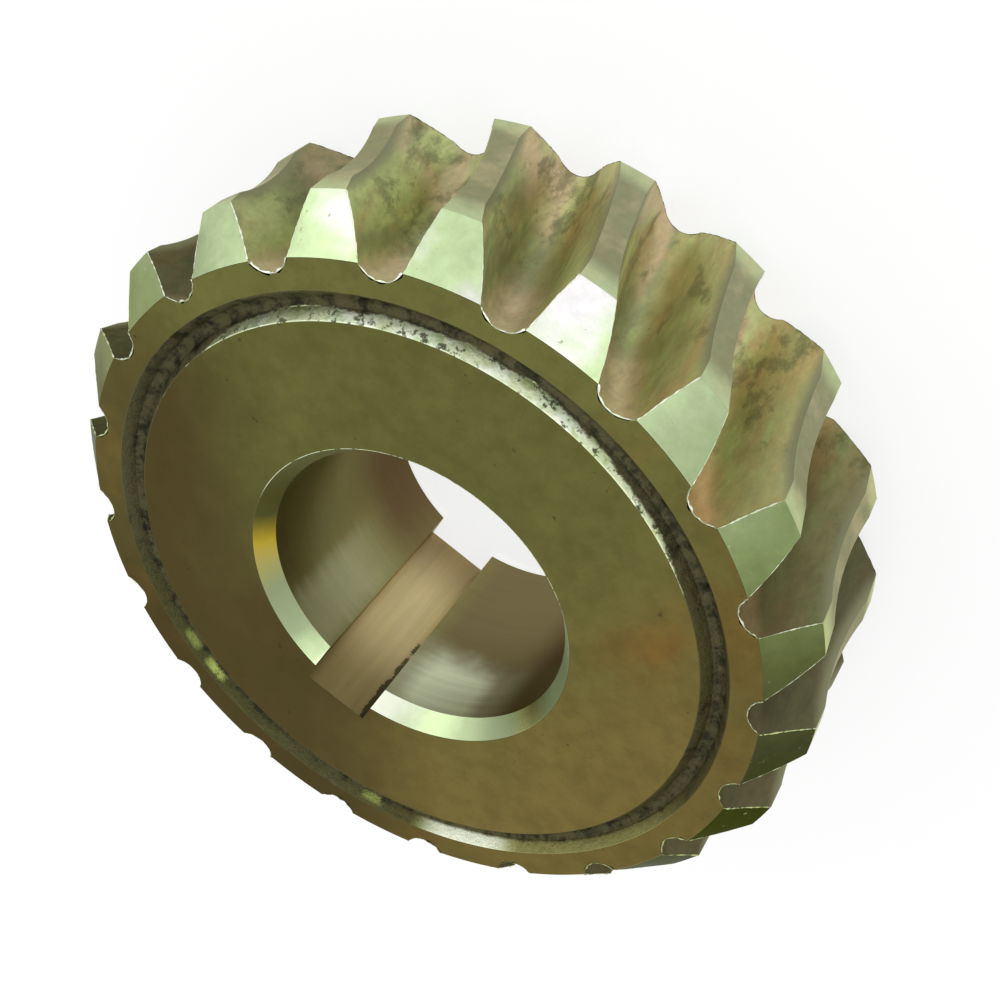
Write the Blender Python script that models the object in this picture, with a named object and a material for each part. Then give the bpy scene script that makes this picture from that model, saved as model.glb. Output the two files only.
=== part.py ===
"""Bronze worm wheel: a turned blank, helical teeth, a bore and its keyway, all one piece.

The wheel's axis is Z, the photographed face is up and its keyway points along +X. The origin is
the middle of the bore. The worm that would drive the wheel lies across it, along its mid-plane,
and each gap between two teeth is the space that one thread of that worm needs.
"""
import math

import bmesh
import bpy
from mathutils import Matrix, Vector

MM = 0.001

# Gear pair
TEETH = 20
MODULE = 4.0 * MM
WORM_STARTS = 4
WORM_PITCH_DIAMETER = 66.0 * MM
FLANK_ANGLE = math.radians(25)
FLANK_RADIUS = 30.0 * MM
GAP_AT_PITCH = 7.7 * MM
ROOT_CLEARANCE = 1.1 * MM
FIRST_TOOTH_ANGLE = math.radians(7.6)

# Blank
FACE_WIDTH = 29.6 * MM
EXTRA_OVER_TIP = 0.4 * MM
THROAT_DEPTH = 0.8 * MM
END_CHAMFER_WIDTH = 4.7 * MM
END_CHAMFER_DEPTH = 4.8 * MM

# Groove turned in both faces
RIM_LAND = 3.4 * MM
GROOVE_WIDTH = 3.0 * MM
GROOVE_FLOOR = 0.8 * MM
GROOVE_DEPTH = 1.6 * MM

# Bore and keyway
BORE_DIAMETER = 35.0 * MM
FRONT_BORE_CHAMFER_WIDTH = 1.5 * MM
FRONT_BORE_CHAMFER_DEPTH = 2.2 * MM
BACK_BORE_CHAMFER_WIDTH = 1.0 * MM
BACK_BORE_CHAMFER_DEPTH = 0.6 * MM
KEYWAY_WIDTH = 8.0 * MM
KEYWAY_DEPTH = 3.6 * MM

# Facets
ROUND_STEPS = 6 * TEETH
THROAT_STEPS = 4
GAP_STEPS = 14
FLANK_STEPS = 3
ROOT_STEPS = 3
CUT_OVERRUN = 3.0 * MM
SMOOTH_BELOW = math.radians(30)

BRONZE = (0.37, 0.33, 0.13, 1.0)
BRONZE_ROUGHNESS = 0.4

# Worked out from the sizes above
PITCH_RADIUS = MODULE * TEETH / 2
WORM_PITCH_RADIUS = WORM_PITCH_DIAMETER / 2
CENTRE_DISTANCE = PITCH_RADIUS + WORM_PITCH_RADIUS
WORM_LEAD = math.pi * MODULE * WORM_STARTS
THREAD_TIP = WORM_PITCH_RADIUS + MODULE + ROOT_CLEARANCE
OUTSIDE_RADIUS = PITCH_RADIUS + MODULE + EXTRA_OVER_TIP / 2
FACE_RADIUS = OUTSIDE_RADIUS - END_CHAMFER_WIDTH
HALF_WIDTH = FACE_WIDTH / 2
BORE_RADIUS = BORE_DIAMETER / 2


def clear_scene():
    """Remove every object that the file starts with."""
    for thing in list(bpy.data.objects):
        bpy.data.objects.remove(thing, do_unlink=True)


def new_object(name, work):
    """Turn a bmesh into a linked object."""
    mesh = bpy.data.meshes.new(name)
    work.to_mesh(mesh)
    work.free()
    thing = bpy.data.objects.new(name, mesh)
    bpy.context.scene.collection.objects.link(thing)
    return thing


def rim_outline():
    """The rim's section: tooth end chamfer, land, throat, land and the chamfer at the back."""
    throat_radius = CENTRE_DISTANCE - OUTSIDE_RADIUS + THROAT_DEPTH
    spread = math.acos((CENTRE_DISTANCE - OUTSIDE_RADIUS) / throat_radius)
    throat = []
    for step in range(THROAT_STEPS + 1):
        angle = spread * (1 - 2 * step / THROAT_STEPS)
        throat.append((CENTRE_DISTANCE - throat_radius * math.cos(angle),
                       throat_radius * math.sin(angle)))
    front = [(FACE_RADIUS, HALF_WIDTH), (OUTSIDE_RADIUS, HALF_WIDTH - END_CHAMFER_DEPTH)]
    back = [(radius, -height) for radius, height in reversed(front)]
    return front + throat + back


def groove_outline():
    """A face groove's section on the front face, from its inner lip to its outer lip."""
    outer = FACE_RADIUS - RIM_LAND
    inner = outer - GROOVE_WIDTH
    middle = (outer + inner) / 2
    floor = HALF_WIDTH - GROOVE_DEPTH
    return [(inner, HALF_WIDTH),
            (middle - GROOVE_FLOOR / 2, floor),
            (middle + GROOVE_FLOOR / 2, floor),
            (outer, HALF_WIDTH)]


def blank_outline():
    """The turned blank's closed half section, as (radius, height) points."""
    front_bore = [(BORE_RADIUS, HALF_WIDTH - FRONT_BORE_CHAMFER_DEPTH),
                  (BORE_RADIUS + FRONT_BORE_CHAMFER_WIDTH, HALF_WIDTH)]
    back_bore = [(BORE_RADIUS + BACK_BORE_CHAMFER_WIDTH, -HALF_WIDTH),
                 (BORE_RADIUS, BACK_BORE_CHAMFER_DEPTH - HALF_WIDTH)]
    back_groove = [(radius, -height) for radius, height in reversed(groove_outline())]
    return front_bore + groove_outline() + rim_outline() + back_groove + back_bore


def make_blank():
    """Spin the half section round the wheel's axis."""
    work = bmesh.new()
    ring = [work.verts.new((radius, 0.0, height)) for radius, height in blank_outline()]
    edges = [work.edges.new((ring[i - 1], ring[i])) for i in range(len(ring))]
    bmesh.ops.spin(work, geom=ring + edges, cent=(0, 0, 0), axis=(0, 0, 1), angle=math.tau,
                   steps=ROUND_STEPS, use_merge=True)
    bmesh.ops.recalc_face_normals(work, faces=work.faces)
    return new_object("worm_wheel", work)


def thread_outline():
    """The worm thread's section as (side, reach) points: hollow flanks and a round tip.

    The centre of a flank's arc lies beside the thread, so the flank that it cuts on the wheel
    is full. The tip's arc touches both flanks.
    """
    middle_side = GAP_AT_PITCH / 2 + FLANK_RADIUS * math.cos(FLANK_ANGLE)
    middle_reach = WORM_PITCH_RADIUS + FLANK_RADIUS * math.sin(FLANK_ANGLE)
    below = middle_reach - THREAD_TIP
    tip_radius = ((middle_side ** 2 + below ** 2 - FLANK_RADIUS ** 2)
                  / (2 * (FLANK_RADIUS - below)))
    start = math.asin((middle_reach - CENTRE_DISTANCE + OUTSIDE_RADIUS + CUT_OVERRUN)
                      / FLANK_RADIUS)
    meet = math.asin((below + tip_radius) / (FLANK_RADIUS + tip_radius))
    right = []
    for step in range(FLANK_STEPS):
        angle = start + (meet - start) * step / FLANK_STEPS
        right.append((middle_side - FLANK_RADIUS * math.cos(angle),
                      middle_reach - FLANK_RADIUS * math.sin(angle)))
    for step in range(ROOT_STEPS):
        angle = meet + (math.pi / 2 - meet) * step / ROOT_STEPS
        right.append((tip_radius * math.cos(angle),
                      THREAD_TIP - tip_radius + tip_radius * math.sin(angle)))
    left = [(-side, reach) for side, reach in reversed(right)]
    return right + [(0.0, THREAD_TIP)] + left


def make_gap_cutter(number):
    """Sweep the thread's section along its helix round the worm's axis, past both faces."""
    swing = math.atan2(HALF_WIDTH, CENTRE_DISTANCE - FACE_RADIUS) + math.radians(8)
    advance = WORM_LEAD * swing / math.tau
    work = bmesh.new()
    ring = [work.verts.new((CENTRE_DISTANCE - reach, side, 0.0)) for side, reach in thread_outline()]
    first = work.faces.new(ring)
    worm_axis = Vector((CENTRE_DISTANCE, 0.0, 0.0))
    bmesh.ops.rotate(work, verts=ring, cent=worm_axis, matrix=Matrix.Rotation(-swing, 3, "Y"))
    bmesh.ops.translate(work, verts=ring, vec=(0.0, advance, 0.0))
    bmesh.ops.spin(work, geom=list(first.edges), cent=worm_axis, axis=(0, 1, 0),
                   dvec=(0.0, -2 * advance / GAP_STEPS, 0.0), angle=2 * swing, steps=GAP_STEPS)
    bmesh.ops.holes_fill(work, edges=work.edges, sides=0)
    bmesh.ops.recalc_face_normals(work, faces=work.faces)
    angle = FIRST_TOOTH_ANGLE + (number + 0.5) * math.tau / TEETH
    bmesh.ops.rotate(work, verts=work.verts, cent=(0, 0, 0), matrix=Matrix.Rotation(angle, 3, "Z"))
    return new_object("gap_cutter_%02d" % number, work)


def make_keyway_cutter():
    """A bar as wide as the key, from inside the bore out to the keyway's floor."""
    floor = BORE_RADIUS + KEYWAY_DEPTH
    start = BORE_RADIUS / 2
    work = bmesh.new()
    bmesh.ops.create_cube(work, size=1.0)
    bmesh.ops.scale(work, verts=work.verts,
                    vec=(floor - start, KEYWAY_WIDTH, FACE_WIDTH + 2 * CUT_OVERRUN))
    bmesh.ops.translate(work, verts=work.verts, vec=((floor + start) / 2, 0.0, 0.0))
    return new_object("keyway_cutter", work)


def cut_away(blank, cutters):
    """Take all the cutters away from the blank in one exact Boolean."""
    group = bpy.data.collections.new("cutters")
    bpy.context.scene.collection.children.link(group)
    for cutter in cutters:
        cutter.hide_render = True
        cutter.display_type = "WIRE"
        bpy.context.scene.collection.objects.unlink(cutter)
        group.objects.link(cutter)
    cut = blank.modifiers.new("gaps_and_keyway", "BOOLEAN")
    cut.operation = "DIFFERENCE"
    cut.solver = "EXACT"
    cut.operand_type = "COLLECTION"
    cut.collection = group


def bronze():
    """Worn bronze, olive where it has dulled."""
    material = bpy.data.materials.new("bronze")
    material.use_nodes = True
    shader = material.node_tree.nodes["Principled BSDF"]
    shader.inputs["Base Color"].default_value = BRONZE
    shader.inputs["Metallic"].default_value = 1.0
    shader.inputs["Roughness"].default_value = BRONZE_ROUGHNESS
    return material


def main():
    """Turn the blank, cut the gaps and the keyway, and give the wheel its bronze."""
    clear_scene()
    wheel = make_blank()
    cutters = [make_gap_cutter(number) for number in range(TEETH)]
    cutters.append(make_keyway_cutter())
    cut_away(wheel, cutters)
    wheel.data.materials.append(bronze())
    wheel.data.shade_smooth()
    wheel.data.set_sharp_from_angle(angle=SMOOTH_BELOW)


main()
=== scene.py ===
"""Finished bronze worm wheel on a white floor: turned faces, painted light and shade, burrs, light."""
import math

import bmesh
import bpy
from mathutils import Matrix, Vector, noise


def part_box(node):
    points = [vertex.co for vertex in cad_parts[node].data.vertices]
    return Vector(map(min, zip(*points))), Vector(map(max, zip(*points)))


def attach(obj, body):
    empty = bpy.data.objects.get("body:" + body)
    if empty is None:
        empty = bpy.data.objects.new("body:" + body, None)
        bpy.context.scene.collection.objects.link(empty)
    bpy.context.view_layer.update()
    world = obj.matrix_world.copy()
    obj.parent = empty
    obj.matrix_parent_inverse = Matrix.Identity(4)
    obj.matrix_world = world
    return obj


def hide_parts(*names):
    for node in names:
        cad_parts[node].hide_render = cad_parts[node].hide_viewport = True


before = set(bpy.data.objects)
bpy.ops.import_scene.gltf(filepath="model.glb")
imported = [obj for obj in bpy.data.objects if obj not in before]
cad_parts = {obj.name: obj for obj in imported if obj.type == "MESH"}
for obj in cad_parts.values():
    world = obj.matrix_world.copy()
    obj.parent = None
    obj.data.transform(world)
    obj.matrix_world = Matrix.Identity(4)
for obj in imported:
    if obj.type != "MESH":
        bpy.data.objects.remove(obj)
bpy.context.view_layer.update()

bl_info = {
    "name": "Worm Wheel",
    "version": (1, 0, 0),
    "blender": (4, 5, 0),
    "location": "3D View > Sidebar > Worm Wheel",
    "description": "Models a worn bronze worm wheel and its studio",
    "category": "Add Mesh",
}

MM = 0.001
NODE = "worm_wheel"
BODY = "root"
WHEEL_LOW, WHEEL_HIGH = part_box(NODE)

# Surfaces of the wheel, in the order of its material slots
SURFACES = ("turned_face", "groove", "tooth_end", "tooth_tip", "tooth_flank",
            "bore_wall", "bore_edge", "keyway")

# Facets
ROUND_STEPS_A_TOOTH = 12
THROAT_STEPS = 12
GAP_STEPS = 44
FLANK_STEPS = 10
ROOT_STEPS = 8
GROOVE_STEPS = 6
CORNER_STEPS = 2
BURR_SIDES = 5
CUT_OVERRUN = 3.0 * MM
SWING_OVERRUN = math.radians(8)
WELD_DISTANCE = 0.01 * MM
SMOOTH_BELOW = math.radians(28)
FLAT_FACE_WEIGHT = 80

# Share of the shorter side beside it that a worn corner may take
CORNER_SHARE = 0.4

# Size of the groove's lips as a share of its floor
GROOVE_LIP = 0.3

# How close to a flat face or to the bore counts as on it, and how upright a flat face's normal is
ON_FACE = 0.05 * MM
ON_BORE = 0.02 * MM
UPRIGHT = 0.99

# Burrs: how slowly their lumps follow one another, the share of fine grit on them, the mean, the
# swing and the limits of their thickness
BURR_LUMPS = 0.16
BURR_GRIT = 0.5
BURR_MEAN = 0.8
BURR_SWING = 1.9
THINNEST_BURR = 0.25
THICKEST_BURR = 2.2

# Thickness of the burrs along the tooth ends, and where they hardly show
CHAMFER_BURR = 0.7
FAINT_BURR = 0.3

# Azimuths of the marks, counted from the keyway. First the side that faces the light, the middle of
# the painted light on the tooth ends, and a tooth with a peak of painted highlight and a dimmed one.
LIT_SIDE = math.radians(200)
LIT_END_SIDE = math.radians(203.5)
HIGHLIT_TOOTH = math.radians(183.6)
DIMMED_TOOTH = math.radians(219.5)

# Marks on the turned face, and the middle of its rust stain
BROWN_SIDE = math.radians(322)
GOLDEN_SIDE = math.radians(62)
OLIVE_RING_SIDE = math.radians(272)
# Side of the ring outside the groove that is given painted light
LIT_RING_SIDE = math.radians(230)
RUST_STAIN = (-19.7 * MM, 28.5 * MM)

# Marks in the groove, most of them painted light: the shaded upper side, the highlit inner wall,
# the lit arc and the glints on the outer wall
LOWER_SIDE = math.radians(20)
UPPER_SIDE = math.radians(205)
RIGHT_SIDE = math.radians(95)
HIGHLIT_WALL = math.radians(198)
WIDE_HIGHLIT_WALL = math.radians(208)
LIT_WALL = math.radians(39)
WARM_WALL = math.radians(66)
STRONG_GLINT = math.radians(337.5)
FAINT_GLINTS = (math.radians(330), math.radians(18))

# Marks on the teeth: the rusty side and the sides given painted shade
RUSTY_SIDE = math.radians(115)
SHADED_SIDE = math.radians(60)
SHADED_LEFT_SIDE = math.radians(300)

# Marks in the bore and on its chamfer, among them its painted highlights and the middle of the
# chamfer's painted light
TAN_WALL = math.radians(90)
PINK_WALL = math.radians(105)
LEFT_WALL = math.radians(290)
HIGHLIT_BORE_WALL = math.radians(32)
HIGHLIT_BORE_STREAK = math.radians(34)
KEYWAY_SIDE = math.radians(334)
LIT_CHAMFER = math.radians(12)
OLIVE_CHAMFER = math.radians(115)

# Colour of the bronze at grazing angles
GRAZING_TINT = (0.78, 0.75, 0.60, 1.0)

# Rays that feel for an edge near a point, and how far the rounded normal turns from the flat one
# there before it counts as an edge
EDGE_SAMPLES = 6
EDGE_TURN = 0.94
EDGE_TEAR = 0.12

# Colour sockets of the Mix node
MIX_FIRST = 6
MIX_SECOND = 7
MIX_RESULT = 2

# Studio, in metres apart from the sensor's millimetres
SENSOR_WIDTH = 36.0
CLIP_START = 0.005
CLIP_END = 20.0
FLOOR_RADIUS = 3.0
FLOOR_SEGMENTS = 96
FLOOR_GAP = 0.02 * MM
FLOOR_WHITE = 0.92
EXTRA_GLOW = 0.05
KEY_PLACE = (-0.10, -0.52, 0.34)
KEY_SIZE = 0.40
OVERHEAD_PLACE = (-0.45, 0.10, 0.85)
OVERHEAD_SIZE = 0.90


# Settings

class WheelSizes(bpy.types.PropertyGroup):
    """Sizes of the wheel, as on the solid model."""

    teeth: bpy.props.IntProperty(
        name="Teeth", description="Number of teeth", default=20, min=8)
    module: bpy.props.FloatProperty(
        name="Module", description="Pitch diameter over the number of teeth",
        default=4.0 * MM, unit="LENGTH", precision=5)
    worm_starts: bpy.props.IntProperty(
        name="Worm Starts", description="Threads of the mating worm", default=4, min=1)
    worm_diameter: bpy.props.FloatProperty(
        name="Worm Diameter", description="Pitch diameter of the mating worm",
        default=66.0 * MM, unit="LENGTH", precision=5)
    flank_angle: bpy.props.FloatProperty(
        name="Flank Angle", description="Slope of the worm thread's flanks at the pitch line",
        default=math.radians(25), subtype="ANGLE")
    flank_radius: bpy.props.FloatProperty(
        name="Flank Radius", description="Radius of the worm thread's hollow flanks",
        default=30.0 * MM, unit="LENGTH", precision=5)
    gap_at_pitch: bpy.props.FloatProperty(
        name="Gap", description="Width of the worm thread at the pitch line",
        default=7.7 * MM, unit="LENGTH", precision=5)
    root_clearance: bpy.props.FloatProperty(
        name="Root Clearance", description="Depth of a gap below the module",
        default=1.1 * MM, unit="LENGTH", precision=5)
    first_tooth_angle: bpy.props.FloatProperty(
        name="First Tooth", description="Angle from the keyway to the first tooth",
        default=math.radians(7.6), subtype="ANGLE")
    extra_over_tip: bpy.props.FloatProperty(
        name="Extra Over Tip", description="What the blank is larger than two modules over pitch",
        default=0.4 * MM, unit="LENGTH", precision=5)
    throat_depth: bpy.props.FloatProperty(
        name="Throat Depth", description="Dip of the rim at its middle",
        default=0.8 * MM, unit="LENGTH", precision=5)
    end_chamfer_width: bpy.props.FloatProperty(
        name="End Chamfer Width", description="Radial size of the tooth end chamfer",
        default=4.7 * MM, unit="LENGTH", precision=5)
    end_chamfer_depth: bpy.props.FloatProperty(
        name="End Chamfer Depth", description="Axial size of the tooth end chamfer",
        default=4.8 * MM, unit="LENGTH", precision=5)
    rim_land: bpy.props.FloatProperty(
        name="Rim Land", description="Flat ring outside the groove",
        default=3.4 * MM, unit="LENGTH", precision=5)
    groove_width: bpy.props.FloatProperty(
        name="Groove Width", description="Width of the face groove at its mouth",
        default=3.0 * MM, unit="LENGTH", precision=5)
    groove_floor: bpy.props.FloatProperty(
        name="Groove Floor", description="Width of the face groove's floor",
        default=0.8 * MM, unit="LENGTH", precision=5)
    groove_depth: bpy.props.FloatProperty(
        name="Groove Depth", description="Depth of the face groove",
        default=1.6 * MM, unit="LENGTH", precision=5)
    bore_diameter: bpy.props.FloatProperty(
        name="Bore", description="Diameter of the bore",
        default=35.0 * MM, unit="LENGTH", precision=5)
    front_chamfer_width: bpy.props.FloatProperty(
        name="Front Chamfer Width", description="Radial size of the bore's front chamfer",
        default=1.5 * MM, unit="LENGTH", precision=5)
    front_chamfer_depth: bpy.props.FloatProperty(
        name="Front Chamfer Depth", description="Axial size of the bore's front chamfer",
        default=2.2 * MM, unit="LENGTH", precision=5)
    back_chamfer_width: bpy.props.FloatProperty(
        name="Back Chamfer Width", description="Radial size of the bore's back chamfer",
        default=1.0 * MM, unit="LENGTH", precision=5)
    back_chamfer_depth: bpy.props.FloatProperty(
        name="Back Chamfer Depth", description="Axial size of the bore's back chamfer",
        default=0.6 * MM, unit="LENGTH", precision=5)
    keyway_width: bpy.props.FloatProperty(
        name="Keyway Width", description="Width of the keyway",
        default=8.0 * MM, unit="LENGTH", precision=5)
    keyway_depth: bpy.props.FloatProperty(
        name="Keyway Depth", description="Depth of the keyway below the bore",
        default=3.6 * MM, unit="LENGTH", precision=5)
    edge_round: bpy.props.FloatProperty(
        name="Edge Round", description="Width of the worn edges",
        default=0.14 * MM, unit="LENGTH", precision=5)
    burr_size: bpy.props.FloatProperty(
        name="Burr Size", description="Thickness of the burrs left by the cutters",
        default=0.1 * MM, unit="LENGTH", precision=5)
    root_burr: bpy.props.FloatProperty(
        name="Root Burr", description="How much thicker the burrs are at the bottom of a gap",
        default=1.3)
    burr_spacing: bpy.props.FloatProperty(
        name="Burr Spacing", description="Distance between the lumps of a burr",
        default=0.28 * MM, unit="LENGTH", precision=5)


def colour(name, description, value):
    """A colour property in the scene's linear colour space."""
    return bpy.props.FloatVectorProperty(name=name, description=description, default=value,
                                         size=3, subtype="COLOR", min=0.0, max=1.0)


class WheelFinish(bpy.types.PropertyGroup):
    """Colours of the bronze and its stains, and painted light from shade to highlight."""

    olive: colour("Olive", "Dulled turned face, green part", (0.122, 0.122, 0.036))
    brown: colour("Brown", "Dulled turned face, brown part", (0.072, 0.053, 0.018))
    gold: colour("Gold", "Dulled turned face, golden part", (0.178, 0.137, 0.040))
    rust: colour("Rust", "Orange stain on the turned face", (0.190, 0.098, 0.023))
    grime: colour("Grime", "Dirt in the groove and the pits", (0.030, 0.030, 0.019))
    groove_grey: colour("Groove Grey", "Dirty metal in the groove", (0.125, 0.115, 0.058))
    groove_brown: colour("Groove Brown", "Groove's walls on the dull side", (0.115, 0.100, 0.040))
    groove_olive: colour("Groove Olive", "Groove's outer wall", (0.098, 0.095, 0.038))
    # Painted highlights in the groove: on the inner wall, and lime spots and glints on the outer wall
    groove_white: colour("Groove White", "Torn inner wall of the groove", (0.94, 1.0, 0.82))
    groove_lime: colour("Groove Bright", "Bright spots on the groove's outer wall", (0.50, 0.58, 0.16))
    # Painted light on the tooth ends: shaded to highlit copies of one bronze, also used as highlights
    end_dull: colour("Dull Tooth End", "Tooth ends on the dull side", (0.066, 0.070, 0.034))
    end_olive: colour("Olive Tooth End", "Tooth ends near the dull side", (0.105, 0.122, 0.038))
    end_mid: colour("Tooth End", "Tooth ends halfway", (0.225, 0.29, 0.115))
    end_pale: colour("Pale Tooth End", "Tooth ends near the bright side", (0.345, 0.425, 0.240))
    end_clear: colour("Clear Tooth End", "Tooth ends on the bright side", (0.56, 0.70, 0.39))
    end_grazing: colour("Grazing Tint", "Dull tooth ends seen at a low angle", (0.40, 0.42, 0.32))
    end_bright: colour("Bright Tooth End", "Freshly filed tooth ends", (0.82, 0.795, 0.80))
    flank_olive: colour("Flank Olive", "Tooth flanks, olive part", (0.60, 0.67, 0.30))
    flank_green: colour("Flank Green", "Tooth flanks, green part", (0.52, 0.63, 0.25))
    flank_tan: colour("Flank Tan", "Tooth flanks, rubbed tan part", (0.66, 0.53, 0.32))
    flank_brown: colour("Flank Brown", "Tooth flanks, side away from the light", (0.50, 0.485, 0.21))
    flank_copper: colour("Flank Copper", "Tooth flanks, copper part", (0.70, 0.56, 0.38))
    flank_grey: colour("Flank Grey", "Tooth flanks, grey green part", (0.38, 0.41, 0.21))
    flank_rust: colour("Flank Rust", "Tooth flanks, orange part", (0.60, 0.37, 0.16))
    # Painted shade on the flanks away from the light, and its colour at grazing angles
    flank_dull: colour("Flank Dull", "Tooth flanks away from the light", (0.088, 0.082, 0.048))
    flank_grazing: colour("Flank Grazing", "Dull flanks seen at a low angle", (0.105, 0.10, 0.06))
    # Dark stains, also painted shade on the back edges of the flanks and on the burrs at the back
    flank_dark: colour("Flank Dark", "Tooth flanks, dark stains", (0.12, 0.125, 0.052))
    # Pale lands, also the lit copy of the lands and painted highlights on edges and burrs
    tip_pale: colour("Tip Land", "Lands at the ends of a tip", (0.46, 0.54, 0.31))
    tip_grey: colour("Tip Throat", "Throat of a tip", (0.275, 0.28, 0.165))
    bore_dull: colour("Bore Dull", "Bore wall, dull part", (0.24, 0.21, 0.075))
    bore_olive: colour("Bore Olive", "Bore wall, olive part", (0.29, 0.275, 0.105))
    bore_tan: colour("Bore Tan", "Bore wall, tan part", (0.205, 0.165, 0.075))
    bore_pink: colour("Bore Pink", "Bore wall, reddish part", (0.115, 0.068, 0.034))
    bore_gold: colour("Bore Gold", "Golden part of the bore's chamfer", (0.52, 0.38, 0.04))
    bore_lip: colour("Bore Chamfer", "Bore's chamfer, olive part", (0.28, 0.33, 0.175))
    bore_bright: colour("Bore Bright", "Bore wall, rubbed part", (0.88, 0.96, 0.68))
    key_tan: colour("Keyway", "Floor of the keyway", (0.58, 0.48, 0.235))
    key_brown: colour("Keyway Mouth", "Keyway near the front face", (0.36, 0.29, 0.130))
    key_rear: colour("Keyway Rear", "Keyway near the back face", (0.29, 0.215, 0.10))
    # Torn edges, also painted highlights on the bore's chamfer, in the groove and at the keyway's
    # corner
    burr: colour("Burr", "Torn bright edges", (0.86, 0.90, 0.74))


class StageSettings(bpy.types.PropertyGroup):
    """Camera and light."""

    camera_place: bpy.props.FloatVectorProperty(
        name="Camera Place", description="Where the camera stands", size=3,
        default=(-116.75 * MM, 4.19 * MM, 110.78 * MM), subtype="TRANSLATION", unit="LENGTH")
    camera_turn: bpy.props.FloatVectorProperty(
        name="Camera Turn", description="How the camera is turned", size=3, subtype="EULER",
        default=(math.radians(-36.361), math.radians(23.713), math.radians(121.489)))
    lens: bpy.props.FloatProperty(
        name="Lens", description="Focal length in millimetres", default=50.93)
    shift: bpy.props.FloatVectorProperty(
        name="Shift", description="Sensor shift, as parts of the frame", size=2,
        default=(-0.0994, -0.0005))
    key_power: bpy.props.FloatProperty(
        name="Key Light", description="Power of the main soft light", default=0.4, unit="POWER")
    fill_power: bpy.props.FloatProperty(
        name="Fill Light", description="Power of the overhead soft light", default=2.0,
        unit="POWER")
    room_light: bpy.props.FloatProperty(
        name="Room Light", description="Strength of the light from all round", default=0.78)
    floor_glow: bpy.props.FloatProperty(
        name="Floor White", description="What lifts the floor's colour to white", default=0.72)


# Wheel mesh

def centre_distance(sizes):
    """Distance from the wheel's axis to the worm's."""
    return (sizes.module * sizes.teeth + sizes.worm_diameter) / 2


def outside_radius(sizes):
    """Radius of the wheel over its tooth tips."""
    return sizes.module * (sizes.teeth / 2 + 1) + sizes.extra_over_tip / 2


def half_width():
    """Half the wheel's width, from the solid model's box."""
    return (WHEEL_HIGH.z - WHEEL_LOW.z) / 2


def new_object(name, work):
    """Turn a bmesh into a linked object."""
    mesh = bpy.data.meshes.new(name)
    work.to_mesh(mesh)
    work.free()
    thing = bpy.data.objects.new(name, mesh)
    bpy.context.scene.collection.objects.link(thing)
    return thing


def groove_outline(sizes):
    """Section of the face groove on the front: a trough with a rounded bottom."""
    outer = outside_radius(sizes) - sizes.end_chamfer_width - sizes.rim_land
    inner = outer - sizes.groove_width
    middle = (outer + inner) / 2
    floor = half_width() - sizes.groove_depth
    lip = GROOVE_LIP * sizes.groove_floor
    points = [(inner, half_width()), (middle - sizes.groove_floor / 2 - lip, floor + lip)]
    for step in range(GROOVE_STEPS + 1):
        along = step / GROOVE_STEPS - 0.5
        dip = (1 - (2 * along) ** 2) * lip / 2
        points.append((middle + along * sizes.groove_floor, floor - dip + lip / 2))
    points += [(middle + sizes.groove_floor / 2 + lip, floor + lip), (outer, half_width())]
    return points


def rim_outline(sizes):
    """Section of the rim: tooth end chamfer, land, throat, land, chamfer."""
    outside = outside_radius(sizes)
    distance = centre_distance(sizes)
    throat_radius = distance - outside + sizes.throat_depth
    spread = math.acos((distance - outside) / throat_radius)
    points = [(outside - sizes.end_chamfer_width, half_width()),
              (outside, half_width() - sizes.end_chamfer_depth)]
    for step in range(THROAT_STEPS + 1):
        angle = spread * (1 - 2 * step / THROAT_STEPS)
        points.append((distance - throat_radius * math.cos(angle),
                       throat_radius * math.sin(angle)))
    points += [(radius, -height) for radius, height in reversed(points[:2])]
    return points


def worn(points, radius):
    """A closed outline with a small arc at each corner that is sharper than a few degrees."""
    result = []
    for i, here in enumerate(points):
        before = Vector(points[i - 1]) - Vector(here)
        after = Vector(points[(i + 1) % len(points)]) - Vector(here)
        turn = math.pi - before.angle(after)
        reach = radius * math.tan(turn / 2)
        if turn < SMOOTH_BELOW or reach > CORNER_SHARE * min(before.length, after.length):
            result.append(here)
            continue
        first = Vector(here) + before.normalized() * reach
        last = Vector(here) + after.normalized() * reach
        for step in range(CORNER_STEPS + 1):
            share = step / CORNER_STEPS
            bend = first.lerp(Vector(here), share).lerp(Vector(here).lerp(last, share), share)
            result.append(tuple(bend))
    return result


def blank_outline(sizes):
    """Closed half section of the turned blank."""
    bore = sizes.bore_diameter / 2
    front = [(bore, half_width() - sizes.front_chamfer_depth),
             (bore + sizes.front_chamfer_width, half_width())]
    back = [(bore + sizes.back_chamfer_width, -half_width()),
            (bore, sizes.back_chamfer_depth - half_width())]
    groove = groove_outline(sizes)
    back_groove = [(radius, -height) for radius, height in reversed(groove)]
    outline = front + groove + rim_outline(sizes) + back_groove + back
    return worn(outline, sizes.edge_round)


def surface_of(sizes, centre, normal):
    """Which of the surfaces a face of the blank belongs to."""
    radius = math.hypot(centre.x, centre.y)
    bore = sizes.bore_diameter / 2
    if abs(normal.z) > UPRIGHT and abs(centre.z) > half_width() - ON_FACE:
        return "turned_face"
    if radius < bore + ON_BORE:
        return "bore_wall"
    if radius < bore + sizes.front_chamfer_width:
        return "bore_edge"
    if radius < outside_radius(sizes) - sizes.end_chamfer_width:
        return "groove"
    if abs(centre.z) > half_width() - sizes.end_chamfer_depth:
        return "tooth_end"
    return "tooth_tip"


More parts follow.
